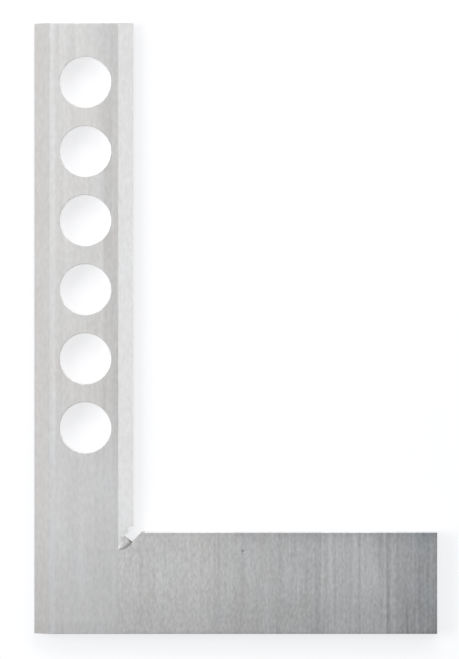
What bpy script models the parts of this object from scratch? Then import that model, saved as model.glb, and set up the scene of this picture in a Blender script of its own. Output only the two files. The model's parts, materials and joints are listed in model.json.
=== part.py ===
"""Steel knife-edge square: a long drilled blade, and a plain beam at right angles to it.

The square lies flat. X runs along the beam, away from the blade. Y runs up the blade. Z runs through
the thickness. The origin is the centre of the footprint, on the underside. Both legs are drawn from the
heel, which is the outer corner of the square, and an empty puts the heel in its place.

Both long edges of the blade are ground down on both faces, so that each meets its neighbour in a narrow
flat. The inner grinding stops at the beam in a steep run-out wall. A slot cut at 45 degrees clears the
inner corner. The blade and the beam meet along a straight seam that runs from the bottom edge, in line
with the root of the inner grinding, up to the tip of the run-out wall, and along that wall's foot.
"""
import math

import bmesh
import bpy
from mathutils import Vector

# Driving dimensions, in metres
BLADE_LENGTH = 0.1500       # heel to the blade's end
BLADE_WIDTH = 0.0244
BEAM_LENGTH = 0.0990        # heel to the beam's end
BEAM_WIDTH = 0.0249
THICKNESS = 0.0060

OUTER_GRIND = 0.0038        # width of the ground strip along the blade's outer edge
INNER_GRIND = 0.0037        # width of the ground strip along the blade's inner edge
KNIFE_FLAT = 0.0004         # what is left of the thickness at a knife edge
EDGE_BREAK = 0.0001         # chamfer on the plain edges and round the holes

HOLE_COUNT = 6
HOLE_RADIUS = 0.00625
HOLE_PITCH = 0.01696
HOLE_LINE = 0.0126          # the row of holes, measured from the blade's outer edge
FIRST_HOLE_DROP = 0.01458   # first hole's centre, measured down from the blade's end
HOLE_SEGMENTS = 48

SLOT_WIDTH = 0.0025
SLOT_OFFSET = -0.00013      # of the slot's centre line, to the right of the heel's diagonal
SLOT_END = 0.0328           # heel to the closed end of the slot, along the diagonal

RUNOUT_HEIGHT = 0.0206      # height above the bottom edge at which the run-out wall has its tip
RUNOUT_FOOT_ANGLE = 54.0    # direction of the wall's foot, in degrees above X

SEAM_GAP = 0.0003           # clearance between the blade and the beam

SEAM_X = BLADE_WIDTH - INNER_GRIND
GRIND_DEPTH = (THICKNESS - KNIFE_FLAT) / 2
TOLERANCE = 1e-6


# Straight lines in the plane of the square. Each is a unit normal, and the line's distance from the heel
# along that normal.

def line(normal_angle, distance):
    """Return the line whose normal points at normal_angle degrees, at this distance from the heel."""
    angle = math.radians(normal_angle)
    return Vector((math.cos(angle), math.sin(angle))), distance


def line_through(point, direction_angle, shift):
    """Return the line through point along direction_angle degrees, moved to its right by shift."""
    normal, _ = line(direction_angle - 90, 0)
    return normal, normal.dot(Vector(point)) + shift


def crossing(first, second):
    """Return the point where two lines cross."""
    (a, p), (b, q) = first, second
    determinant = a.x * b.y - a.y * b.x
    return Vector(((p * b.y - q * a.y) / determinant, (q * a.x - p * b.x) / determinant))


BOTTOM = line(-90, 0)
OUTER_EDGE = line(180, 0)
INNER_EDGE = line(0, BLADE_WIDTH)
BLADE_END = line(90, BLADE_LENGTH)
BEAM_END = line(0, BEAM_LENGTH)
BEAM_TOP = line(90, BEAM_WIDTH)
SLOT_FLOOR = line(45, SLOT_END)
SLOT_BLADE_SIDE = line(-45, -SLOT_WIDTH / 2 + SLOT_OFFSET)
SLOT_BEAM_SIDE = line(135, -SLOT_WIDTH / 2 - SLOT_OFFSET)
RUNOUT_TIP = (SEAM_X, RUNOUT_HEIGHT)


def chamfer_rims(mesh, sides, width):
    """Chamfer the rims, on both faces, of the walls that stand on the given outline lines."""
    def on_side(vertex, side):
        normal, distance = side
        return abs(normal.dot(vertex.co.xy) - distance) < TOLERANCE

    def on_face(vertex):
        return min(abs(vertex.co.z), abs(vertex.co.z - THICKNESS)) < TOLERANCE

    rims = []
    for edge in mesh.edges:
        flat = all(on_face(vertex) for vertex in edge.verts)
        flat = flat and abs(edge.verts[0].co.z - edge.verts[1].co.z) < TOLERANCE
        if flat and any(all(on_side(vertex, side) for vertex in edge.verts) for side in sides):
            rims.append(edge)
    bmesh.ops.bevel(mesh, geom=rims, offset=width, offset_type='OFFSET', segments=1, affect='EDGES')


def slice_off(mesh, point, normal):
    """Cut away all that lies beyond the plane through point, on the side that normal points to."""
    everything = mesh.verts[:] + mesh.edges[:] + mesh.faces[:]
    cut = bmesh.ops.bisect_plane(mesh, geom=everything, plane_co=point, plane_no=normal, dist=TOLERANCE,
                                 clear_outer=True)
    rim = [item for item in cut["geom_cut"] if isinstance(item, bmesh.types.BMEdge)]
    bmesh.ops.contextual_create(mesh, geom=rim)


def grind_both_faces(mesh, start, outward, depth, width):
    """Grind a slope on both faces: none at start, and depth deep at width along outward."""
    for face_z, side in ((THICKNESS, 1), (0.0, -1)):
        normal = Vector((outward.x * depth, outward.y * depth, side * width))
        slice_off(mesh, Vector((start[0], start[1], face_z)), normal.normalized())


def plate(bounds):
    """Return a plate of full thickness whose outline is the given lines, in order, anticlockwise."""
    mesh = bmesh.new()
    corners = [crossing(bounds[i - 1], bounds[i]) for i in range(len(bounds))]
    vertices = [mesh.verts.new((corner.x, corner.y, 0.0)) for corner in corners]
    floor = mesh.faces.new(vertices)
    extruded = bmesh.ops.extrude_face_region(mesh, geom=[floor], use_keep_orig=True)
    lifted = [item for item in extruded["geom"] if isinstance(item, bmesh.types.BMVert)]
    bmesh.ops.translate(mesh, verts=lifted, vec=(0, 0, THICKNESS))
    bmesh.ops.recalc_face_normals(mesh, faces=mesh.faces)
    return mesh


def vertex_at(mesh, point, z):
    """Return the mesh's vertex at this point of the outline, on the face at height z."""
    target = Vector((point.x, point.y, z))
    return min(mesh.verts, key=lambda vertex: (vertex.co - target).length)


def ground_steel(name, colour, roughness):
    """Return a ground steel material."""
    material = bpy.data.materials.new(name)
    material.use_nodes = True
    shader = material.node_tree.nodes["Principled BSDF"]
    shader.inputs["Base Color"].default_value = (*colour, 1.0)
    shader.inputs["Metallic"].default_value = 1.0
    shader.inputs["Roughness"].default_value = roughness
    material.diffuse_color = (*colour, 1.0)
    return material


def place(name, mesh, material, heel):
    """Make the finished mesh an object at the heel."""
    bmesh.ops.recalc_face_normals(mesh, faces=mesh.faces)
    data = bpy.data.meshes.new(name)
    mesh.to_mesh(data)
    mesh.free()
    data.materials.append(material)
    piece = bpy.data.objects.new(name, data)
    bpy.context.collection.objects.link(piece)
    piece.parent = heel
    return piece


def hole_drill(heel):
    """Return the cutter for the row of holes: one turned body for each, flared at both faces."""
    over = 0.001
    profile = ((HOLE_RADIUS + EDGE_BREAK + over, -over),
               (HOLE_RADIUS, EDGE_BREAK),
               (HOLE_RADIUS, THICKNESS - EDGE_BREAK),
               (HOLE_RADIUS + EDGE_BREAK + over, THICKNESS + over))
    mesh = bmesh.new()
    for index in range(HOLE_COUNT):
        centre_y = BLADE_LENGTH - FIRST_HOLE_DROP - index * HOLE_PITCH
        rings = []
        for radius, z in profile:
            ring = []
            for step in range(HOLE_SEGMENTS):
                angle = 2 * math.pi * step / HOLE_SEGMENTS
                x = HOLE_LINE + radius * math.cos(angle)
                y = centre_y + radius * math.sin(angle)
                ring.append(mesh.verts.new((x, y, z)))
            rings.append(ring)
        for lower, upper in zip(rings, rings[1:]):
            for step in range(HOLE_SEGMENTS):
                after = (step + 1) % HOLE_SEGMENTS
                mesh.faces.new((lower[step], lower[after], upper[after], upper[step]))
        mesh.faces.new(rings[0][::-1])
        mesh.faces.new(rings[-1])
    bmesh.ops.recalc_face_normals(mesh, faces=mesh.faces)
    data = bpy.data.meshes.new("hole_drill")
    mesh.to_mesh(data)
    mesh.free()
    data.shade_smooth()
    data.set_sharp_from_angle(angle=math.radians(40))
    drill = bpy.data.objects.new("hole_drill", data)
    bpy.context.collection.objects.link(drill)
    drill.parent = heel
    drill.hide_render = True
    drill.display_type = 'WIRE'
    return drill


def make_blade(heel, material):
    """The long leg: a bar ground to a knife edge on both sides, with its row of round holes."""
    seam = line(0, SEAM_X - SEAM_GAP / 2)
    foot = line_through(RUNOUT_TIP, RUNOUT_FOOT_ANGLE, -SEAM_GAP / 2)
    mesh = plate([BOTTOM, seam, foot, SLOT_FLOOR, SLOT_BLADE_SIDE, INNER_EDGE, BLADE_END, OUTER_EDGE])
    grind_both_faces(mesh, (OUTER_GRIND, 0), Vector((-1, 0)), GRIND_DEPTH, OUTER_GRIND)
    grind_both_faces(mesh, (SEAM_X, 0), Vector((1, 0)), GRIND_DEPTH, INNER_GRIND)
    chamfer_rims(mesh, (BOTTOM, BLADE_END), EDGE_BREAK)
    blade = place("blade", mesh, material, heel)
    drilling = blade.modifiers.new("row of holes", 'BOOLEAN')
    drilling.operation = 'DIFFERENCE'
    drilling.solver = 'EXACT'
    drilling.object = hole_drill(heel)
    return blade


def lower_runout(mesh, tip, foot_end, slot_corner):
    """Split a flat three-cornered facet off both faces and sink its foot end as deep as the grinding."""
    depth = (foot_end.x - SEAM_X) * GRIND_DEPTH / INNER_GRIND
    for face_z, inward in ((THICKNESS, -1), (0.0, 1)):
        head = [vertex_at(mesh, tip, face_z), vertex_at(mesh, slot_corner, face_z)]
        foot = vertex_at(mesh, foot_end, face_z)
        bmesh.ops.connect_verts(mesh, verts=head)
        foot.co.z += inward * depth


def make_beam(heel, material):
    """The short leg: a plain bar, whose inner end carries the run-out wall and half of the slot."""
    seam = line(0, SEAM_X + SEAM_GAP / 2)
    foot = line_through(RUNOUT_TIP, RUNOUT_FOOT_ANGLE, SEAM_GAP / 2)
    mesh = plate([BOTTOM, BEAM_END, BEAM_TOP, SLOT_BEAM_SIDE, SLOT_FLOOR, foot, seam])
    lower_runout(mesh, tip=crossing(foot, seam), foot_end=crossing(SLOT_FLOOR, foot),
                 slot_corner=crossing(SLOT_BEAM_SIDE, SLOT_FLOOR))
    chamfer_rims(mesh, (BOTTOM, BEAM_END, BEAM_TOP), EDGE_BREAK)
    return place("beam", mesh, material, heel)


def main():
    """Clear the scene and build the square."""
    for leftover in list(bpy.data.objects):
        bpy.data.objects.remove(leftover, do_unlink=True)
    heel = bpy.data.objects.new("heel", None)
    bpy.context.collection.objects.link(heel)
    heel.location = (-BEAM_LENGTH / 2, -BLADE_LENGTH / 2, 0)
    make_blade(heel, ground_steel("blade steel", (0.66, 0.66, 0.65), 0.34))
    make_beam(heel, ground_steel("beam steel", (0.60, 0.60, 0.60), 0.38))


main()
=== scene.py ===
"""A steel knife-edge square, lying flat on a pale floor and seen from straight above.

Every shape here is drawn from the heel, the outer corner of the square: x runs along the beam and y up the
blade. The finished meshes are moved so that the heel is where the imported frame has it.
"""
import json
import math

import bpy
import numpy as np
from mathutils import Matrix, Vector


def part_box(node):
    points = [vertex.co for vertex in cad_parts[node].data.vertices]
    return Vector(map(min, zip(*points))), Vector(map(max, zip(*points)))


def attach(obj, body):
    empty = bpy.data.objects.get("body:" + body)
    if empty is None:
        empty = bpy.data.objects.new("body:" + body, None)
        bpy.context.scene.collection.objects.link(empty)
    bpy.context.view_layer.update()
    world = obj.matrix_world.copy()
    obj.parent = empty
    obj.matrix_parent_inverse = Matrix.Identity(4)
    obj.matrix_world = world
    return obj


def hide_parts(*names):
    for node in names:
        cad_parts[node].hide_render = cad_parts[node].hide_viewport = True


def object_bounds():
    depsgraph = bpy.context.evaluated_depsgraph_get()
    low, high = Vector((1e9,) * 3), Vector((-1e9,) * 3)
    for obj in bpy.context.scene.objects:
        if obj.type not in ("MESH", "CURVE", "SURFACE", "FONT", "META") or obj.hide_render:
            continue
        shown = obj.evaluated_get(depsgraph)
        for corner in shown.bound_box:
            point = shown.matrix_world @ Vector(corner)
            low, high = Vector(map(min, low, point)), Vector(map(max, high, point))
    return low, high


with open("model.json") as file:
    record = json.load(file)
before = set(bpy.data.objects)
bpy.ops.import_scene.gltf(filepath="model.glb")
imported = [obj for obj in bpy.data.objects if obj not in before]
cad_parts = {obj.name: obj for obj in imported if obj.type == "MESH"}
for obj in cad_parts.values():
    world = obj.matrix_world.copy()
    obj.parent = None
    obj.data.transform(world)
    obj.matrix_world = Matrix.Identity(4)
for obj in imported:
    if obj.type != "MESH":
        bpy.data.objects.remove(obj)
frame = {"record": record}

MM = 0.001


# ---------------------------------------------------------------- sizes, read from the frame

cad_box = [list(corner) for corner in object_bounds()]
heel_x, heel_y, underside = cad_box[0]
blade_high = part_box("blade")[1]
beam_low, beam_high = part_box("beam")

BLADE_LENGTH = blade_high[1] - heel_y
BLADE_WIDTH = blade_high[0] - heel_x
BEAM_LENGTH = beam_high[0] - heel_x
BEAM_WIDTH = beam_high[1] - heel_y
THICKNESS = blade_high[2] - underside
CAD_GAP = 0.3 * MM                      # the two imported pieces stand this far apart
SEAM = beam_low[0] - CAD_GAP / 2 - heel_x

HOLES = [np.mean(np.array(opening["box_m"])[:, :2], axis=0) - (heel_x, heel_y)
         for opening in frame["record"]["physics"]["openings"] if opening["name"].startswith("hole")]
HOLES.sort(key=lambda centre: centre[1])
HOLE_RADIUS = 6.25 * MM
HOLE_PITCH = HOLES[1][1] - HOLES[0][1]

OUTER_GRIND = 3.8 * MM                  # width of the ground strip along the blade's outer edge
INNER_GRIND = BLADE_WIDTH - SEAM        # and along its inner edge, down to the seam
KNIFE_FLAT = 0.4 * MM                   # what is left of the thickness at a knife edge

EDGE_BREAK = 0.10 * MM
SEAM_CLEARANCE = 0.01 * MM
FAR = 1.0                               # a distance beyond every edge of the square
WALL_MARK = 0.004 * MM                  # what lies closer to an edge than this is its wall
TINY = 0.0001 * MM

# The slot's walls are the lines x - y = a constant, and its floor the line x + y = a constant.
SLOT_BLADE_SIDE = -1.38 * MM * math.sqrt(2)
SLOT_BEAM_SIDE = 1.12 * MM * math.sqrt(2)
SLOT_FLOOR = 32.8 * MM * math.sqrt(2)
CHAMFER_WIDTH = 0.44 * MM               # of the slot's chamfer along the beam
CHAMFER_SLOPE = 0.06
FLOOR_BREAK = 0.30 * MM                 # how wide the slot's floor is broken
BLADE_BREAK = 0.04 * MM                 # and its wall on the blade

# How dark the steel is painted beside the slot, from 0 to 1: painted shade along its broken edges, and a
# scratch.
CHAMFER_SHADE = 0.3
FLOOR_SHADES = (0.3, 1.0)               # at the blade's end of the floor, and at the beam's end
FLOOR_SHADE_REACH = 1.4                 # how far the floor's shade runs, as a multiple of FLOOR_BREAK
SCRATCH_SHADE = 0.9                     # on the scratch where the chamfer ends
SCRATCH_WIDTH = 0.18 * MM

# Painted light on the strip that the slot and run-out wall shade: its width, and strength up the blade.
PAINTED_LIGHT_WIDTH = 1.25 * MM
PAINTED_LIGHT_HEIGHTS = np.array((20.6, 22.2, 24.2, 25.5)) * MM
PAINTED_LIGHT_STRENGTHS = (0.3, 1.4, 1.4, 1.1)

RUNOUT_TIP = np.array((SEAM, 20.6 * MM))
FOOT_SLOPE = math.tan(math.radians(54))             # of the wall's foot
SWEEP_SLOPE = math.tan(math.radians(57))            # of the line where the grinding starts to curve up
HEAD_SLOPES = [math.tan(math.radians(angle)) for angle in (8, 39, 74)]     # of its head, from the tip on
HEAD_TURN = 0.5 * MM                                # how softly the first slope turns into the second
HEAD_DIP = np.array((0.12, 0.44)) * MM              # how far the second one passes from the slot's corner

PIT = np.array((51.4, 20.3)) * MM
PIT_RADIUS = 0.55 * MM
PIT_DEPTH = 0.05 * MM
PIT_DARK = 1.6                          # how soon the pit's floor is fully dark, inwards from its rim


def slot_point(difference):
    """The point of the slot's floor where x - y has this value."""
    return np.array((SLOT_FLOOR + difference, SLOT_FLOOR - difference)) / 2


BLADE_CORNER = slot_point(SLOT_BLADE_SIDE)
BEAM_CORNER = slot_point(SLOT_BEAM_SIDE)
FOOT_RUN = (SLOT_FLOOR - RUNOUT_TIP.sum()) / (1 + FOOT_SLOPE)
FOOT_END = RUNOUT_TIP + FOOT_RUN * np.array((1, FOOT_SLOPE))


# ---------------------------------------------------------------- heights

def edge_drop(distance, width):
    """How far a broken edge falls away: a quarter circle of this width, full at distance 0."""
    inside = np.clip(1 - distance / width, 0, 1)
    return width * (1 - np.sqrt(1 - inside ** 2))


def wall_head(x):
    """How high above the bottom edge the head of the run-out wall passes at x.

    It is the highest of three lines: one nearly level from the tip, one that runs up beside the slot's
    corner, and a steep one to the corner itself. A parabola rounds the corner between the first two.
    """
    first, second, third = HEAD_SLOPES
    beside = BEAM_CORNER - HEAD_DIP
    low = RUNOUT_TIP[1] + first * (x - SEAM)
    high = beside[1] + second * (x - beside[0])
    share = np.clip(0.5 + 0.5 * (high - low) / HEAD_TURN, 0, 1)
    rounded = low + (high - low) * share + HEAD_TURN * share * (1 - share)
    return np.maximum(rounded, BEAM_CORNER[1] + third * (x - BEAM_CORNER[0]))


def runout_share(x, y, foot_slope):
    """Where the run-out wall is: 1 along its head, 0 along its foot, which runs up from the tip with this
    slope, evenly spread between them, and 0 off the wall."""
    head = wall_head(x)
    foot = RUNOUT_TIP[1] + foot_slope * (x - SEAM)
    share = np.clip((foot - y) / np.maximum(foot - head, TINY), 0, 1)
    return np.where((y > head - TINY) & (x > SEAM) & (x < BEAM_CORNER[0] + TINY), share, 0)


def half_height(x, y):
    """Half the thickness of the square at (x, y), before its edges are broken.

    It is the lowest of the flat face, the slope up from the outer knife edge, and the inner grinding, which
    slopes up from the inner knife edge and curves up to the face, as a parabola, along the run-out wall.
    """
    face = THICKNESS / 2
    knife = KNIFE_FLAT / 2
    outer = knife + (face - knife) * x / OUTER_GRIND
    inner = knife + (face - knife) * (BLADE_WIDTH - x) / INNER_GRIND
    inner = inner + (face - inner) * runout_share(x, y, SWEEP_SLOPE) ** 2
    ground = (x > SEAM) & (x - y < SLOT_BEAM_SIDE - TINY) & (y > wall_head(x) - TINY)
    return np.minimum(np.minimum(face, outer), np.where(ground, inner, face))


def slot_walls(x, y):
    """The distances of (x, y) outside the slot from its wall on the blade, its wall on the beam and its
    floor, each 0 on the slot's side of that line."""
    blade_side = np.maximum((SLOT_BLADE_SIDE - (x - y)) / math.sqrt(2), 0)
    beam_side = np.maximum(((x - y) - SLOT_BEAM_SIDE) / math.sqrt(2), 0)
    floor = np.maximum((SLOT_FLOOR - (x + y)) / math.sqrt(2), 0)
    return blade_side, beam_side, floor


def slot_fall(x, y):
    """How far the slot's broken edges fall away: in full at the slot, evenly less out to each edge's own
    width, and along an ellipse round a corner."""
    blade_side, beam_side, floor = slot_walls(x, y)
    away = np.hypot(np.hypot(blade_side / BLADE_BREAK, beam_side / CHAMFER_WIDTH), floor / FLOOR_BREAK)
    return CHAMFER_SLOPE * CHAMFER_WIDTH * np.clip(1 - away, 0, 1)


def slot_shade(x, y):
    """How dark the steel is painted beside the slot: painted shade along its broken edges, and a scratch.

    The floor's shade grows from the blade's end to the beam's and fades with distance. The chamfer's is even
    and gone a little past its end, where the scratch has its own, and both fade away from the floor.
    """
    blade_side, beam_side, floor = slot_walls(x, y)
    on_floor = np.clip(FLOOR_SHADE_REACH - np.hypot(floor, beam_side * 0.7) / FLOOR_BREAK, 0, 1)
    along = np.interp(x - y, (SLOT_BLADE_SIDE, SLOT_BEAM_SIDE), FLOOR_SHADES)
    off_floor = np.clip(1 - 2 * floor / CHAMFER_WIDTH, 0, 1)
    chamfer = CHAMFER_SHADE * np.clip((1.15 - beam_side / CHAMFER_WIDTH) / 0.15, 0, 1)
    scratch = SCRATCH_SHADE * np.clip(1 - np.abs(beam_side - CHAMFER_WIDTH) / SCRATCH_WIDTH, 0, 1)
    beside = np.maximum(chamfer, scratch) * off_floor * (beam_side > TINY)
    return np.maximum(on_floor * along * (blade_side < TINY), beside)


def painted_slot_light(x, y):
    """The painted light on the inner grinding along the foot of the wall and the slot, which shade it from
    low
    light: strongest beside them, 0 from the set width on, measured level, and as strong up the blade as the
    set strengths say."""
    foot = SEAM + (y - RUNOUT_TIP[1]) / FOOT_SLOPE
    limit = np.maximum(np.minimum(foot, SLOT_FLOOR - y), y + SLOT_BLADE_SIDE)
    strength = np.interp(y, PAINTED_LIGHT_HEIGHTS, PAINTED_LIGHT_STRENGTHS)
    share = np.clip(1 - (limit - x) / PAINTED_LIGHT_WIDTH, 0, 1) ** 2 * strength
    beside = (x > SEAM) & (x < limit + TINY) & (y > RUNOUT_TIP[1]) & (limit < BLADE_WIDTH)
    return np.where(beside, share, 0)


# ---------------------------------------------------------------- grids

def between(low, high, count, near_low=(), near_high=()):
    """Values from low to high along a new last axis: count even steps, with extra ones at these distances
    from either end."""
    low = np.asarray(low, float)[..., None]
    high = np.asarray(high, float)[..., None]
    first = low + np.array((0.0, *near_low))
    last = high - np.array((0.0, *near_high))[::-1]
    share = np.arange(1, count) / count
    middle = first[..., -1:] + (last[..., :1] - first[..., -1:]) * share
    return np.concatenate([first, middle, last], axis=-1)


def patch(x, y):
    """A patch of surface from two arrays of the same shape: its points, and its four-sided faces turned
    anticlockwise when the first axis runs right and the second one up."""
    rows, columns = x.shape
    index = np.arange(rows * columns).reshape(rows, columns)
    faces = np.stack([index[:-1, :-1], index[1:, :-1], index[1:, 1:], index[:-1, 1:]], axis=-1)
    return np.stack([x.ravel(), y.ravel()], axis=-1), faces.reshape(-1, 4)


def lattice(xs, ys):
    """A plain patch over every pair of these x and y values."""
    x, y = np.meshgrid(xs, ys, indexing="ij")
    return patch(x, y)


def hole_cell(centre, xs, ys):
    """The patch round one hole: rings that start as a circle at the hole's rim and end as the rectangle with
    these x values along its level sides and these y values along its upright ones."""
    rim_x = np.concatenate([xs[:-1], np.full(len(ys) - 1, xs[-1]), xs[:0:-1], np.full(len(ys) - 1, xs[0])])
    rim_y = np.concatenate([np.full(len(xs) - 1, ys[0]), ys[:-1], np.full(len(xs) - 1, ys[-1]), ys[:0:-1]])
    angle = np.arctan2(rim_y - centre[1], rim_x - centre[0])
    steps = np.array((0.0, 0.1, 0.25, 0.45, 0.7, 1.0, 1.5)) * EDGE_BREAK
    spoke_x = centre[0] + np.cos(angle) * (HOLE_RADIUS + steps[:, None])
    spoke_y = centre[1] + np.sin(angle) * (HOLE_RADIUS + steps[:, None])
    share = np.linspace(0, 1, 8)[1:, None] ** 1.3
    outer_x = spoke_x[-1] + (rim_x - spoke_x[-1]) * share
    outer_y = spoke_y[-1] + (rim_y - spoke_y[-1]) * share
    x = np.concatenate([spoke_x, outer_x])
    y = np.concatenate([spoke_y, outer_y])
    x = np.concatenate([x, x[:, :1]], axis=1)
    y = np.concatenate([y, y[:, :1]], axis=1)
    return patch(x, y)


def weld(patches):
    """Join patches into one surface: points in the same place, to a tenth of a micron, become one."""
    points = np.concatenate([points for points, _ in patches])
    offsets = np.cumsum([0] + [len(points) for points, _ in patches[:-1]])
    faces = np.concatenate([faces + offset for (_, faces), offset in zip(patches, offsets)])
    keys = np.round(points / (MM * 1e-4)).astype(np.int64)
    _, first, where = np.unique(keys, axis=0, return_index=True, return_inverse=True)
    return points[first], where.reshape(-1)[faces]


def closed_plate(points, half, faces):
    """Close a surface into a plate: the surface at its half height above the middle, its mirror image below,
    and an upright wall along every free edge."""
    count = len(points)
    top = np.column_stack([points, THICKNESS / 2 + half])
    bottom = np.column_stack([points, THICKNESS / 2 - half])
    ahead = np.roll(faces, -1, axis=1)
    starts, ends = faces.ravel(), ahead.ravel()
    real = starts != ends
    starts, ends = starts[real], ends[real]
    free = ~np.isin(starts * count + ends, ends * count + starts)
    starts, ends = starts[free], ends[free]
    walls = np.stack([ends, starts, starts + count, ends + count], axis=-1)
    return np.concatenate([top, bottom]), np.concatenate([faces, faces[:, ::-1] + count, walls])


def make_object(name, points, faces, layers):
    """A mesh object at the origin, its heel where the frame has it, with these values kept at its points.

    A face whose first and last corners are one point, as at the tip of a fan, is made a triangle.
    """
    mesh = bpy.data.meshes.new(name)
    three = faces[:, 0] == faces[:, 3]
    corners = faces[~three].tolist() + faces[three, :3].tolist()
    mesh.from_pydata((points + (heel_x, heel_y, underside)).tolist(), [], corners)
    for layer, values in layers.items():
        mesh.attributes.new(layer, 'FLOAT', 'POINT').data.foreach_set("value", values.astype(np.float32))
    mesh.shade_smooth()
    mesh.set_sharp_from_angle(angle=math.radians(32))
    piece = bpy.data.objects.new(name, mesh)
    bpy.context.collection.objects.link(piece)
    return piece


EDGE_STEPS = tuple(EDGE_BREAK * share for share in (0.1, 0.25, 0.45, 0.7, 1.0, 1.5))
BLADE_SLOT_STEPS = tuple(step * MM for step in (0.04, 0.1, 0.2, 0.35, 0.6))
BEAM_SLOT_STEPS = tuple(CHAMFER_WIDTH * share for share in (0.25, 0.5, 0.75, 1.0, 1.25, 1.6, 2.2))
HEAD_STEPS = EDGE_STEPS + tuple(math.sqrt(2) * CHAMFER_WIDTH * share
                                for share in (0.35, 0.5, 0.65, 0.8, 0.9, 1.0, 1.1, 1.2, 1.4, 1.8, 2.4))
RIDGE_STEPS = tuple(step * MM for step in (0.04, 0.08, 0.14, 0.22, 0.35))
RIDGE_FADE = RIDGE_STEPS[0]             # over which a ground strip's own finish begins


def blade_surface():
    """The blade seen from above: four strips up its length, with a round patch for each hole, and the small
    four-sided patch between the foot of the run-out wall and the slot."""
    margin = 0.7 * MM
    seam = SEAM - SEAM_CLEARANCE / 2
    tip = RUNOUT_TIP - (SEAM_CLEARANCE / 2, 0)
    foot_end = FOOT_END - (SEAM_CLEARANCE / 2, 0)
    outer = np.concatenate([between(0, OUTER_GRIND, 10, near_high=RIDGE_STEPS),
                            between(OUTER_GRIND, OUTER_GRIND + margin, 2, near_low=RIDGE_STEPS)[1:]])
    middle = np.linspace(OUTER_GRIND + margin, seam - margin, 27)
    inner = between(seam - margin, seam, 3, near_high=RIDGE_STEPS)
    mouth = BLADE_WIDTH - SLOT_BLADE_SIDE
    low = between(0, tip[1], 40, near_low=EDGE_STEPS)
    beside = np.linspace(tip[1], BLADE_CORNER[1], 17)
    slot = between(BLADE_CORNER[1], mouth, 10, near_low=BLADE_SLOT_STEPS)
    plain = np.linspace(mouth, HOLES[0][1] - HOLE_PITCH / 2, 30)
    cells = [np.linspace(centre[1] - HOLE_PITCH / 2, centre[1] + HOLE_PITCH / 2, 29) for centre in HOLES]
    top = between(cells[-1][-1], BLADE_LENGTH, 10, near_high=EDGE_STEPS)
    below = np.concatenate([low, beside[1:], slot[1:], plain[1:]])
    drilled = np.concatenate([cells[0]] + [cell[1:] for cell in cells[1:]])
    whole = np.concatenate([below, drilled[1:], top[1:]])
    patches = [lattice(outer, whole), lattice(middle, below), lattice(middle, top), lattice(inner, whole)]
    patches += [hole_cell(centre, middle, cell) for centre, cell in zip(HOLES, cells)]
    # Above the slot's floor the inner strip is as wide as the slot leaves it.
    upper = whole[whole > BLADE_CORNER[1] - TINY]
    edge = np.minimum(BLADE_WIDTH, upper + SLOT_BLADE_SIDE)
    start = np.full_like(upper, seam)
    x = between(start, edge, 10, near_low=RIDGE_STEPS, near_high=BLADE_SLOT_STEPS).T
    patches.append(patch(x, np.broadcast_to(upper, x.shape)))
    # Between the wall's foot and the slot: straight lines from the root of the grinding to the slot's floor.
    share = (beside - beside[0]) / (beside[-1] - beside[0])
    floor = foot_end + (BLADE_CORNER - foot_end) * share[:, None]
    start = np.full_like(beside, seam)
    x = between(start, floor[:, 0], 10, near_low=RIDGE_STEPS, near_high=BLADE_SLOT_STEPS).T
    along = (x - seam) / (floor[:, 0] - seam)
    patches.append(patch(x, beside + (floor[:, 1] - beside) * along))
    return weld(patches)


def beam_surface():
    """The beam seen from above: upright columns from the bottom edge to the wall's head, the slot or the
    inner edge, and the three-cornered run-out wall, which is a fan from its tip."""
    tip = RUNOUT_TIP + (SEAM_CLEARANCE / 2, 0)
    foot_end = FOOT_END + (SEAM_CLEARANCE / 2, 0)
    share = np.concatenate([[0, 0.02, 0.04], np.linspace(0.06, 1, 36)])[:, None]
    head = tip + (BEAM_CORNER - tip) * share
    head[1:-1, 1] = wall_head(head[1:-1, 0])
    foot = tip + (foot_end - tip) * share
    across = np.linspace(0, 1, 25)
    fan = foot[:, None, :] + (head - foot)[:, None, :] * across[:, None]
    wall = patch(fan[:, ::-1, 0], fan[:, ::-1, 1])
    # The columns crowd together at the pit, and so do the rows.
    mouth = BEAM_WIDTH + SLOT_BEAM_SIDE
    slot = np.linspace(BEAM_CORNER[0], mouth, 25)[1:]
    pit_x, pit_y = (centre + PIT_RADIUS * np.linspace(-1.5, 1.5, 17) for centre in PIT)
    plain = np.concatenate([between(mouth, pit_x[0], 50, near_low=BEAM_SLOT_STEPS)[1:], pit_x[1:],
                            between(pit_x[-1], BEAM_LENGTH, 90, near_high=EDGE_STEPS)[1:]])
    xs = np.concatenate([head[:, 0], slot, plain])
    tops = np.concatenate([head[:, 1], slot - SLOT_BEAM_SIDE, np.full(len(plain), BEAM_WIDTH)])[:, None]
    rows = np.concatenate([between(0, pit_y[0], 40, near_low=EDGE_STEPS), pit_y[1:],
                           between(pit_y[-1], BEAM_WIDTH, 6, near_high=HEAD_STEPS)[1:]])
    # Rows near either edge keep their distance from it where the beam is lower, and the rest close up.
    margin = HEAD_STEPS[-1] + TINY
    inner = margin + (rows - margin) * (tops - 2 * margin) / (BEAM_WIDTH - 2 * margin)
    y = np.where(rows < margin, rows, np.where(rows > BEAM_WIDTH - margin, tops - BEAM_WIDTH + rows, inner))
    return weld([patch(np.broadcast_to(xs[:, None], y.shape), y), wall])


def plain_edge_distance(x, y):
    """Distance to the nearest straight edge that is broken with a stone: the two ends and the beam's two long
    edges."""
    on_beam = (x - y > SLOT_BEAM_SIDE - TINY) & (x > BEAM_CORNER[0])
    beam_top = np.where(on_beam, BEAM_WIDTH - y, FAR)
    return np.minimum.reduce([y, BLADE_LENGTH - y, BEAM_LENGTH - x, beam_top])


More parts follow.
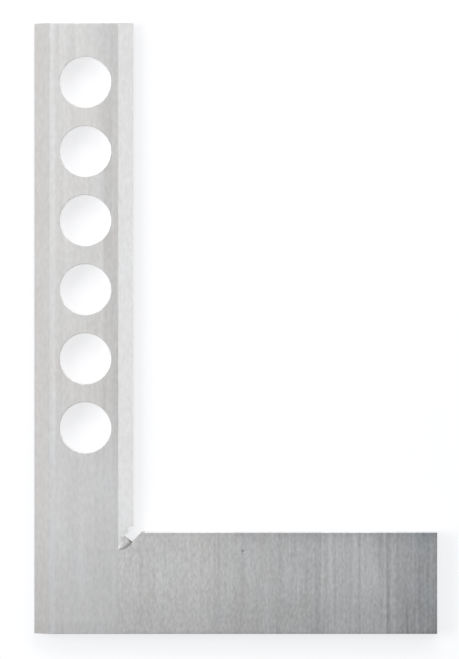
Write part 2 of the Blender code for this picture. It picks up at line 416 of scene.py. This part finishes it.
def make_piece(name, surface, holes):
    """One finished piece: its surface lifted to its height, its edges broken, and closed into a plate."""
    points, faces = surface
    x, y = points.T
    half = half_height(x, y)
    straight = plain_edge_distance(x, y)
    broken = edge_drop(straight, EDGE_BREAK)
    hole_distance = np.full_like(x, FAR)
    for centre in holes:
        hole_distance = np.minimum(hole_distance, np.hypot(x - centre[0], y - centre[1]) - HOLE_RADIUS)
    broken = np.maximum(broken, edge_drop(hole_distance, EDGE_BREAK))
    broken = np.maximum(broken, slot_fall(x, y))
    half = half - np.minimum(broken, half - KNIFE_FLAT / 4)
    out = np.hypot(x - PIT[0], y - PIT[1]) / PIT_RADIUS
    half_top = half - PIT_DEPTH * np.clip(1 - out ** 2, 0, 1) ** 2
    slot_distance = np.sqrt(sum(distance ** 2 for distance in slot_walls(x, y)))
    edge = np.minimum(np.minimum(straight, hole_distance), slot_distance)
    solid, shell = closed_plate(points, half, faces)
    solid[:len(points), 2] += half_top - half
    outer = np.clip((OUTER_GRIND - x) / RIDGE_FADE, 0, 1)
    inner = np.clip((x - SEAM) / RIDGE_FADE, 0, 1) * (half < THICKNESS / 2 - TINY)
    layers = {
        "edge": edge,
        "outer grinding": outer,
        "inner grinding": inner,
        # painted shade along the slot's broken edges, and a scratch
        "slot shade": slot_shade(x, y),
        "run-out wall": runout_share(x, y, FOOT_SLOPE),
        # painted light on the strip beside the slot and the run-out wall
        "painted_slot_light": painted_slot_light(x, y),
        "pit": np.clip(PIT_DARK * (1 - out), 0, 1),
    }
    return make_object(name, solid, shell, {layer: np.tile(values, 2) for layer, values in layers.items()})


# ---------------------------------------------------------------- node groups

def new_group(name, inputs, outputs):
    """An empty shader node group with these named inputs (label, value) and float outputs. An input is a
    vector if its value is a tuple or None, and None leaves it unset."""
    tree = bpy.data.node_groups.new(name, 'ShaderNodeTree')
    for label, value in inputs:
        kind = 'NodeSocketVector' if value is None or isinstance(value, tuple) else 'NodeSocketFloat'
        socket = tree.interface.new_socket(label, in_out='INPUT', socket_type=kind)
        if value is not None:
            socket.default_value = value
    for label in outputs:
        tree.interface.new_socket(label, in_out='OUTPUT', socket_type='NodeSocketFloat')
    return tree, tree.nodes.new('NodeGroupInput').outputs, tree.nodes.new('NodeGroupOutput').inputs


def set_or_link(tree, socket, value):
    """Give an input socket a number or tuple, or link another node's output to it."""
    if isinstance(value, bpy.types.NodeSocket):
        tree.links.new(value, socket)
    else:
        socket.default_value = value


def calculate(tree, operation, *values, clamp=False):
    """A Math node on numbers and sockets; returns its output."""
    node = tree.nodes.new('ShaderNodeMath')
    node.operation = operation
    node.use_clamp = clamp
    for socket, value in zip(node.inputs, values):
        set_or_link(tree, socket, value)
    return node.outputs[0]


def vector_math(tree, operation, a, b):
    """A Vector Math node on two vectors; returns its output."""
    node = tree.nodes.new('ShaderNodeVectorMath')
    node.operation = operation
    set_or_link(tree, node.inputs[0], a)
    set_or_link(tree, node.inputs[1], b)
    return node.outputs[0]


def smooth_range(tree, value, low, high):
    """0 where value is at low and 1 where it is at high, with a smooth start and end between."""
    node = tree.nodes.new('ShaderNodeMapRange')
    node.interpolation_type = 'SMOOTHSTEP'
    for socket, setting in zip(node.inputs, (value, low, high, 0.0, 1.0)):
        set_or_link(tree, socket, setting)
    return node.outputs[0]


def grain_group():
    """Noise stretched along an axis, from about -1 to 1. Cells is how many cells there are to a metre along
    each axis, and Detail how many finer layers are added."""
    tree, given, made = new_group(
        "ground grain",
        [("Vector", None), ("Cells", (1000, 100, 100)), ("Detail", 2.0), ("Shift", 0.0)], ["Grain"])
    stretched = vector_math(tree, 'MULTIPLY', given["Vector"], given["Cells"])
    noise = tree.nodes.new('ShaderNodeTexNoise')
    noise.inputs["Scale"].default_value = 1.0
    noise.inputs["Roughness"].default_value = 0.55
    tree.links.new(vector_math(tree, 'ADD', stretched, given["Shift"]), noise.inputs["Vector"])
    tree.links.new(given["Detail"], noise.inputs["Detail"])
    centred = calculate(tree, 'SUBTRACT', noise.outputs["Fac"], 0.5)
    tree.links.new(calculate(tree, 'MULTIPLY', centred, 4.0), made["Grain"])
    return tree


def band_group():
    """A soft stripe: 1 where Position is within Half Width of Centre, falling smoothly to 0 over Softness."""
    tree, given, made = new_group(
        "soft band",
        [("Position", 0.0), ("Centre", 0.0), ("Half Width", 0.001), ("Softness", 0.001)], ["Mask"])
    away = calculate(tree, 'ABSOLUTE', calculate(tree, 'SUBTRACT', given["Position"], given["Centre"]))
    faded = calculate(tree, 'ADD', given["Half Width"], given["Softness"])
    tree.links.new(smooth_range(tree, away, faded, given["Half Width"]), made["Mask"])
    return tree


def wear_group():
    """Worn edges: 1 on the edge itself, gone at Width from it, and broken up by noise with this many Cells to
    a metre. Distance is how far the point is from the edge."""
    tree, given, made = new_group(
        "edge wear",
        [("Vector", None), ("Distance", 0.0), ("Width", 0.0003), ("Cells", 900.0)], ["Wear"])
    noise = tree.nodes.new('ShaderNodeTexNoise')
    noise.inputs["Detail"].default_value = 3.0
    tree.links.new(given["Vector"], noise.inputs["Vector"])
    tree.links.new(given["Cells"], noise.inputs["Scale"])
    reach = calculate(tree, 'MULTIPLY', smooth_range(tree, noise.outputs["Fac"], 0.3, 0.7), given["Width"])
    reach = calculate(tree, 'MULTIPLY_ADD', given["Width"], 0.5, reach)
    tree.links.new(smooth_range(tree, given["Distance"], reach, 0.0), made["Wear"])
    return tree


def weighted_sum(tree, *terms):
    """The sum of (value, weight) pairs, as a chain of Math nodes."""
    total = 0.0
    for value, weight in terms:
        total = calculate(tree, 'MULTIPLY_ADD', value, weight, total)
    return total


def cut_wall_group():
    """The drilled and milled walls, where the distance from the edge stays zero: rougher than the ground
    faces and lightened with painted light, for the dark they face sideways, but for the slot's floor with its
    painted shade (Shade), and marked by Rings from the tool."""
    tree, given, made = new_group(
        "cut wall", [("Distance", 0.0), ("Shade", 0.0), ("Rings", 0.0)], ["Tone", "Roughness", "Height"])
    wall = smooth_range(tree, given["Distance"], WALL_MARK, 0.0)
    shaded = calculate(tree, 'MULTIPLY', wall, given["Shade"])
    ringed = calculate(tree, 'MULTIPLY', wall, given["Rings"])
    # painted light on the walls, taken back where the slot's painted shade lies
    tree.links.new(weighted_sum(tree, (wall, 0.5), (shaded, -0.5), (ringed, 0.1)), made["Tone"])
    tree.links.new(weighted_sum(tree, (wall, 0.12)), made["Roughness"])
    tree.links.new(weighted_sum(tree, (ringed, 0.6)), made["Height"])
    return tree


def milling_light_and_shade_group():
    """The run-out wall (Wall, 0 at its foot and 1 at its head) and the slot's broken edges (Shade) are made
    rougher and given painted shade for the dark they reflect: brownish, and darkest at the top. The strip
    beside them, which they shade from low light, gets painted light (the third input)."""
    tree, given, made = new_group(
        "milling with painted light and shade", [("Wall", 0.0), ("Shade", 0.0), ("Painted Light", 0.0)], ["Tone", "Tint", "Roughness"])
    wall, shade, painted_light = given["Wall"], given["Shade"], given["Painted Light"]
    past_foot = smooth_range(tree, wall, 0.0, 0.25)
    # painted shade on the wall and beside the slot, painted light on the strip beside them
    tone = weighted_sum(tree, (wall, -0.5), (past_foot, -0.06), (shade, -0.25), (painted_light, 0.5))
    tree.links.new(tone, made["Tone"])
    tree.links.new(weighted_sum(tree, (wall, -0.9), (shade, -0.6)), made["Tint"])
    tree.links.new(weighted_sum(tree, (past_foot, 0.3), (shade, 0.1)), made["Roughness"])
    return tree


GRAIN = grain_group()
BAND = band_group()
WEAR = wear_group()
CUT_WALL = cut_wall_group()
MILLING_LIGHT_AND_SHADE = milling_light_and_shade_group()


def place_group(tree, group, *values):
    """Place a group, give its inputs these values or links in order, and return its outputs."""
    node = tree.nodes.new('ShaderNodeGroup')
    node.node_tree = group
    for socket, value in zip(node.inputs, values):
        set_or_link(tree, socket, value)
    return node.outputs


# ---------------------------------------------------------------- steel

class Steel:
    """Ground steel under construction: places from the heel, and a tone, a tint, a roughness and a height
    that each effect adds to. The tone multiplies the grey, and the tint goes from -1, warm, to 1, cool."""

    def __init__(self, name, grey, roughness):
        self.material = bpy.data.materials.new(name)
        self.material.use_nodes = True
        self.tree = self.material.node_tree
        self.grey = grey
        moved = self.tree.nodes.new('ShaderNodeMapping')
        moved.inputs["Location"].default_value = (-heel_x, -heel_y, -underside)
        coordinates = self.tree.nodes.new('ShaderNodeTexCoord')
        self.tree.links.new(coordinates.outputs["Object"], moved.inputs["Vector"])
        self.place = moved.outputs[0]
        split = self.tree.nodes.new('ShaderNodeSeparateXYZ')
        self.tree.links.new(self.place, split.inputs[0])
        self.x, self.y = split.outputs[:2]
        self.tone = 1.0
        self.tint = 0.0
        self.roughness = roughness
        self.height = 0.0

    def layer(self, name):
        """One of the values kept at the mesh's points."""
        node = self.tree.nodes.new('ShaderNodeAttribute')
        node.attribute_name = name
        return node.outputs["Fac"]

    def grain(self, across, along, detail=2.0, shift=0.0):
        """Grain up the blade's length, with cells this wide and this long."""
        cells = (1 / across, 1 / along, 1 / along)
        return place_group(self.tree, GRAIN, self.place, cells, detail, shift)["Grain"]

    def times(self, a, b):
        """The product of two masks."""
        return calculate(self.tree, 'MULTIPLY', a, b)

    def band(self, position, centre, half_width, softness):
        """A soft stripe across one axis."""
        return place_group(self.tree, BAND, position, centre, half_width, softness)["Mask"]

    def ramp(self, position, low, high):
        """0 at low, 1 at high."""
        return smooth_range(self.tree, position, low, high)

    def add(self, mask, tone=0.0, tint=0.0, roughness=0.0, height=0.0):
        """Let a mask change the tone, the tint, the roughness and the height by these amounts."""
        for part, amount in (("tone", tone), ("tint", tint), ("roughness", roughness), ("height", height)):
            if amount:
                setattr(self, part, calculate(self.tree, 'MULTIPLY_ADD', mask, amount, getattr(self, part)))

    def finish(self, bump):
        """Link the tone, tint, roughness and height to the shader, and return the material."""
        tree = self.tree
        shader = tree.nodes["Principled BSDF"]
        shader.inputs["Metallic"].default_value = 1.0
        grey = calculate(tree, 'MULTIPLY', self.tone, self.grey)
        colour = tree.nodes.new('ShaderNodeCombineColor')
        for channel, warmth in enumerate((-0.03, 0.0, 0.03)):
            share = calculate(tree, 'MULTIPLY_ADD', self.tint, warmth, 1.0)
            tree.links.new(calculate(tree, 'MULTIPLY', grey, share), colour.inputs[channel])
        tree.links.new(colour.outputs[0], shader.inputs["Base Color"])
        set_or_link(tree, shader.inputs["Roughness"], self.roughness)
        lift = tree.nodes.new('ShaderNodeBump')
        lift.inputs["Strength"].default_value = bump
        lift.inputs["Distance"].default_value = 0.02 * MM
        set_or_link(tree, lift.inputs["Height"], self.height)
        tree.links.new(lift.outputs[0], shader.inputs["Normal"])
        return self.material


def add_worked_edges(steel):
    """What both pieces' steel has at its edges: wear from handling, rougher milling with painted shade beside
    the slot and on the run-out wall, painted light on the strip beside them, and cut walls.
    """
    edge = steel.layer("edge")
    shade = steel.layer("slot shade")
    wear = place_group(steel.tree, WEAR, steel.place, edge, 0.3 * MM, 900.0)
    steel.add(wear["Wear"], tone=0.05, roughness=-0.05)
    wall = steel.layer("run-out wall")
    # painted shade on the run-out wall and the slot's edges, painted light on the strip beside them
    milling_light_and_shade = place_group(steel.tree, MILLING_LIGHT_AND_SHADE, wall, shade, steel.layer("painted_slot_light"))
    steel.add(milling_light_and_shade["Tone"], tone=1.0)
    steel.add(milling_light_and_shade["Tint"], tint=1.0)
    steel.add(milling_light_and_shade["Roughness"], roughness=1.0)
    rings = place_group(steel.tree, GRAIN, steel.place, (150, 150, 4000), 2.0, 5.0)
    # the cut walls, lightened with painted light
    cut = place_group(steel.tree, CUT_WALL, edge, shade, rings["Grain"])
    steel.add(cut["Tone"], tone=1.0)
    steel.add(cut["Roughness"], roughness=1.0)
    steel.add(cut["Height"], height=1.0)


def blade_steel():
    """The blade: fine grain all over, long faint streaks on its face, a warmer outer grinding with a painted
    highlight beside it, and a darker face towards the inner grinding and the bottom edge."""
    steel = Steel("blade steel", grey=0.62, roughness=0.36)
    outer = steel.layer("outer grinding")
    inner = steel.layer("inner grinding")
    face = calculate(steel.tree, 'SUBTRACT', 1.0, calculate(steel.tree, 'ADD', outer, inner))
    upper = steel.ramp(steel.y, 35 * MM, 60 * MM)
    steel.add(steel.grain(0.7 * MM, 1.6 * MM), tone=0.062, height=0.5)
    streak = steel.grain(1.0 * MM, 40 * MM, detail=3.0, shift=7.3)
    steel.add(steel.times(face, streak), tone=0.045, roughness=0.03)
    steel.add(steel.grain(6 * MM, 14 * MM, shift=3.1), tone=0.02, tint=0.3)
    steel.add(outer, tone=0.02, tint=-0.6, roughness=0.02)
    steel.add(steel.times(face, upper), tint=-0.35)
    # The painted highlight beside the outer grinding, and the two darker lines towards the inner one.
    steel.add(steel.band(steel.x, 4.6 * MM, 0.5 * MM, 0.35 * MM), tone=0.05, tint=0.2)
    ridge_side = steel.times(steel.ramp(steel.x, 15.5 * MM, 18.5 * MM), face)
    steel.add(steel.times(ridge_side, upper), tone=-0.085)
    thin_line = steel.band(steel.x, 17.4 * MM, 0.3 * MM, 0.5 * MM)
    steel.add(steel.times(thin_line, face), tone=-0.03)
    # Darker towards the bottom edge, and a light line along the upper end.
    steel.add(steel.ramp(steel.y, 34 * MM, 3 * MM), tone=-0.115, tint=0.2)
    steel.add(steel.ramp(steel.y, 4 * MM, 0.3 * MM), tone=-0.06)
    upper_end = steel.ramp(steel.y, BLADE_LENGTH - 0.7 * MM, BLADE_LENGTH)
    steel.add(steel.times(upper_end, face), tone=0.10)
    add_worked_edges(steel)
    return steel.finish(bump=0.15)


# Upright streaks on the beam: centre from the heel, half width and softness in millimetres, and tone.
BEAM_STREAKS = (
    (38.5, 2.5, 3, 0.04),
    (50.6, 0.7, 1.0, -0.035),
    (56, 8, 6, -0.025),
    (69.3, 0.9, 0.8, -0.09),
    (77, 4, 4, 0.05),
    (87.2, 0.4, 0.3, -0.05),
    (98.1, 0.1, 0.6, -0.05),
)


def beam_steel():
    """The beam: coarser, mottled grain, darker streaks that stand upright on it, and a cooler, darker end."""
    steel = Steel("beam steel", grey=0.585, roughness=0.36)
    steel.add(steel.grain(0.55 * MM, 1.25 * MM), tone=0.125, height=0.5)
    right = steel.ramp(steel.x, 30 * MM, 95 * MM)
    streak = steel.grain(0.8 * MM, 30 * MM, detail=3.0, shift=7.3)
    steel.add(streak, tone=0.042, roughness=0.03)
    steel.add(steel.times(streak, right), tone=0.06)
    steel.add(steel.grain(5 * MM, 9 * MM, shift=3.1), tone=0.03, tint=0.3)
    steel.add(right, tint=0.55)
    for centre, half_width, softness, tone in BEAM_STREAKS:
        steel.add(steel.band(steel.x, centre * MM, half_width * MM, softness * MM), tone=tone)
    # The end is darker in one clear step and then gradually, and turns cooler.
    steel.add(steel.ramp(steel.x, 88.4 * MM, 89.2 * MM), tone=-0.085)
    steel.add(steel.ramp(steel.x, 90 * MM, 95 * MM), tone=-0.065, tint=0.5)
    # Darker towards the bottom edge, close along it, along the inner edge, and over the upper right part.
    steel.add(steel.ramp(steel.y, 15 * MM, 2 * MM), tone=-0.11)
    steel.add(steel.ramp(steel.y, 1.0 * MM, 0.3 * MM), tone=-0.08)
    steel.add(steel.ramp(steel.y, BEAM_WIDTH - 1.4 * MM, BEAM_WIDTH - 0.4 * MM), tone=-0.05)
    upper_part = steel.ramp(steel.y, 20 * MM, BEAM_WIDTH)
    steel.add(steel.times(steel.ramp(steel.x, 45 * MM, 55 * MM), upper_part), tone=-0.09)
    steel.add(steel.layer("pit"), tone=-0.45, roughness=0.3)
    add_worked_edges(steel)
    return steel.finish(bump=0.15)


# ---------------------------------------------------------------- the pieces

blade = make_piece("ground_blade", blade_surface(), HOLES)
blade.data.materials.append(blade_steel())
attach(blade, "root")
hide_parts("blade")

beam = make_piece("ground_beam", beam_surface(), [])
beam.data.materials.append(beam_steel())
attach(beam, "root")
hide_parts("beam")


# ---------------------------------------------------------------- floor, light and camera

def make_floor():
    """A plain pale floor under the square: a light table, which glows enough to soften the shadows."""
    half = 3.0
    mesh = bpy.data.meshes.new("floor")
    corners = [(-half, -half, 0), (half, -half, 0), (half, half, 0), (-half, half, 0)]
    mesh.from_pydata(corners, [], [(0, 1, 2, 3)])
    floor = bpy.data.objects.new("floor", mesh)
    bpy.context.collection.objects.link(floor)
    material = bpy.data.materials.new("pale floor")
    material.use_nodes = True
    shader = material.node_tree.nodes["Principled BSDF"]
    shader.inputs["Base Color"].default_value = (0.24, 0.24, 0.245, 1)
    shader.inputs["Roughness"].default_value = 0.9
    shader.inputs["Specular IOR Level"].default_value = 0.0
    shader.inputs["Emission Color"].default_value = (0.985, 0.99, 1.0, 1)
    shader.inputs["Emission Strength"].default_value = 0.71
    mesh.materials.append(material)


def softbox(name, place, aim, width, height, brightness):
    """A rectangular lamp at place that faces aim. Its power gives it this brightness, in watts per square
    metre and steradian."""
    lamp = bpy.data.lights.new(name, 'AREA')
    lamp.shape = 'RECTANGLE'
    lamp.size, lamp.size_y = width, height
    lamp.energy = brightness * math.pi * width * height
    rig = bpy.data.objects.new(name, lamp)
    bpy.context.collection.objects.link(rig)
    rig.location = place
    rig.rotation_euler = (Vector(aim) - Vector(place)).to_track_quat('-Z', 'Y').to_euler()


def softbox_round(name, turn, distance, height, size, brightness):
    """A lamp on a stand that faces the square: turn is its direction in degrees, anticlockwise from the
    beam's end, and distance is measured level."""
    angle = math.radians(turn)
    place = (distance * math.cos(angle), distance * math.sin(angle), height)
    softbox(name, place, (0, 0, 0), *size, brightness)


make_floor()
scene = bpy.context.scene
scene.view_settings.view_transform = 'Standard'
world = bpy.data.worlds.new("studio")
world.use_nodes = True
world.node_tree.nodes["Background"].inputs["Color"].default_value = (0.92, 0.92, 0.93, 1)
world.node_tree.nodes["Background"].inputs["Strength"].default_value = 0.3
scene.world = world

CEILING = 0.70
softbox("overhead", (-0.15, 0, CEILING), (-0.15, 0, 0), 0.3, 0.6, 0.76)
softbox("overhead left", (-0.45, 0.15, CEILING), (-0.45, 0.15, 0), 0.3, 0.3, 3.8)
softbox_round("high right", 45, 0.85, 0.85, (0.6, 0.6), 3.1)
softbox_round("high back", 90, 0.85, 0.85, (0.6, 0.6), 4.3)
softbox_round("high left", 180, 0.85, 0.85, (0.6, 0.6), 6.6)
softbox_round("low right", 0, 1.0, 0.30, (0.7, 0.5), 1.34)
softbox_round("low left", 135, 1.0, 0.30, (0.7, 0.5), 3.1)

CAMERA_HEIGHT = 1.10429                 # above the square's upper face
VIEW_HEIGHT = 161.718 * MM              # how much of that face fits between the frame's top and bottom
VIEW_CENTRE = np.array((48.02, 74.72)) * MM
lens = bpy.data.cameras.new("camera")
lens.sensor_width = 36.0
lens.lens = lens.sensor_width * CAMERA_HEIGHT / VIEW_HEIGHT
lens.clip_start, lens.clip_end = 0.01, 20.0
camera = bpy.data.objects.new("camera", lens)
bpy.context.collection.objects.link(camera)
camera.location = (heel_x + VIEW_CENTRE[0], heel_y + VIEW_CENTRE[1], underside + THICKNESS + CAMERA_HEIGHT)
scene.camera = camera
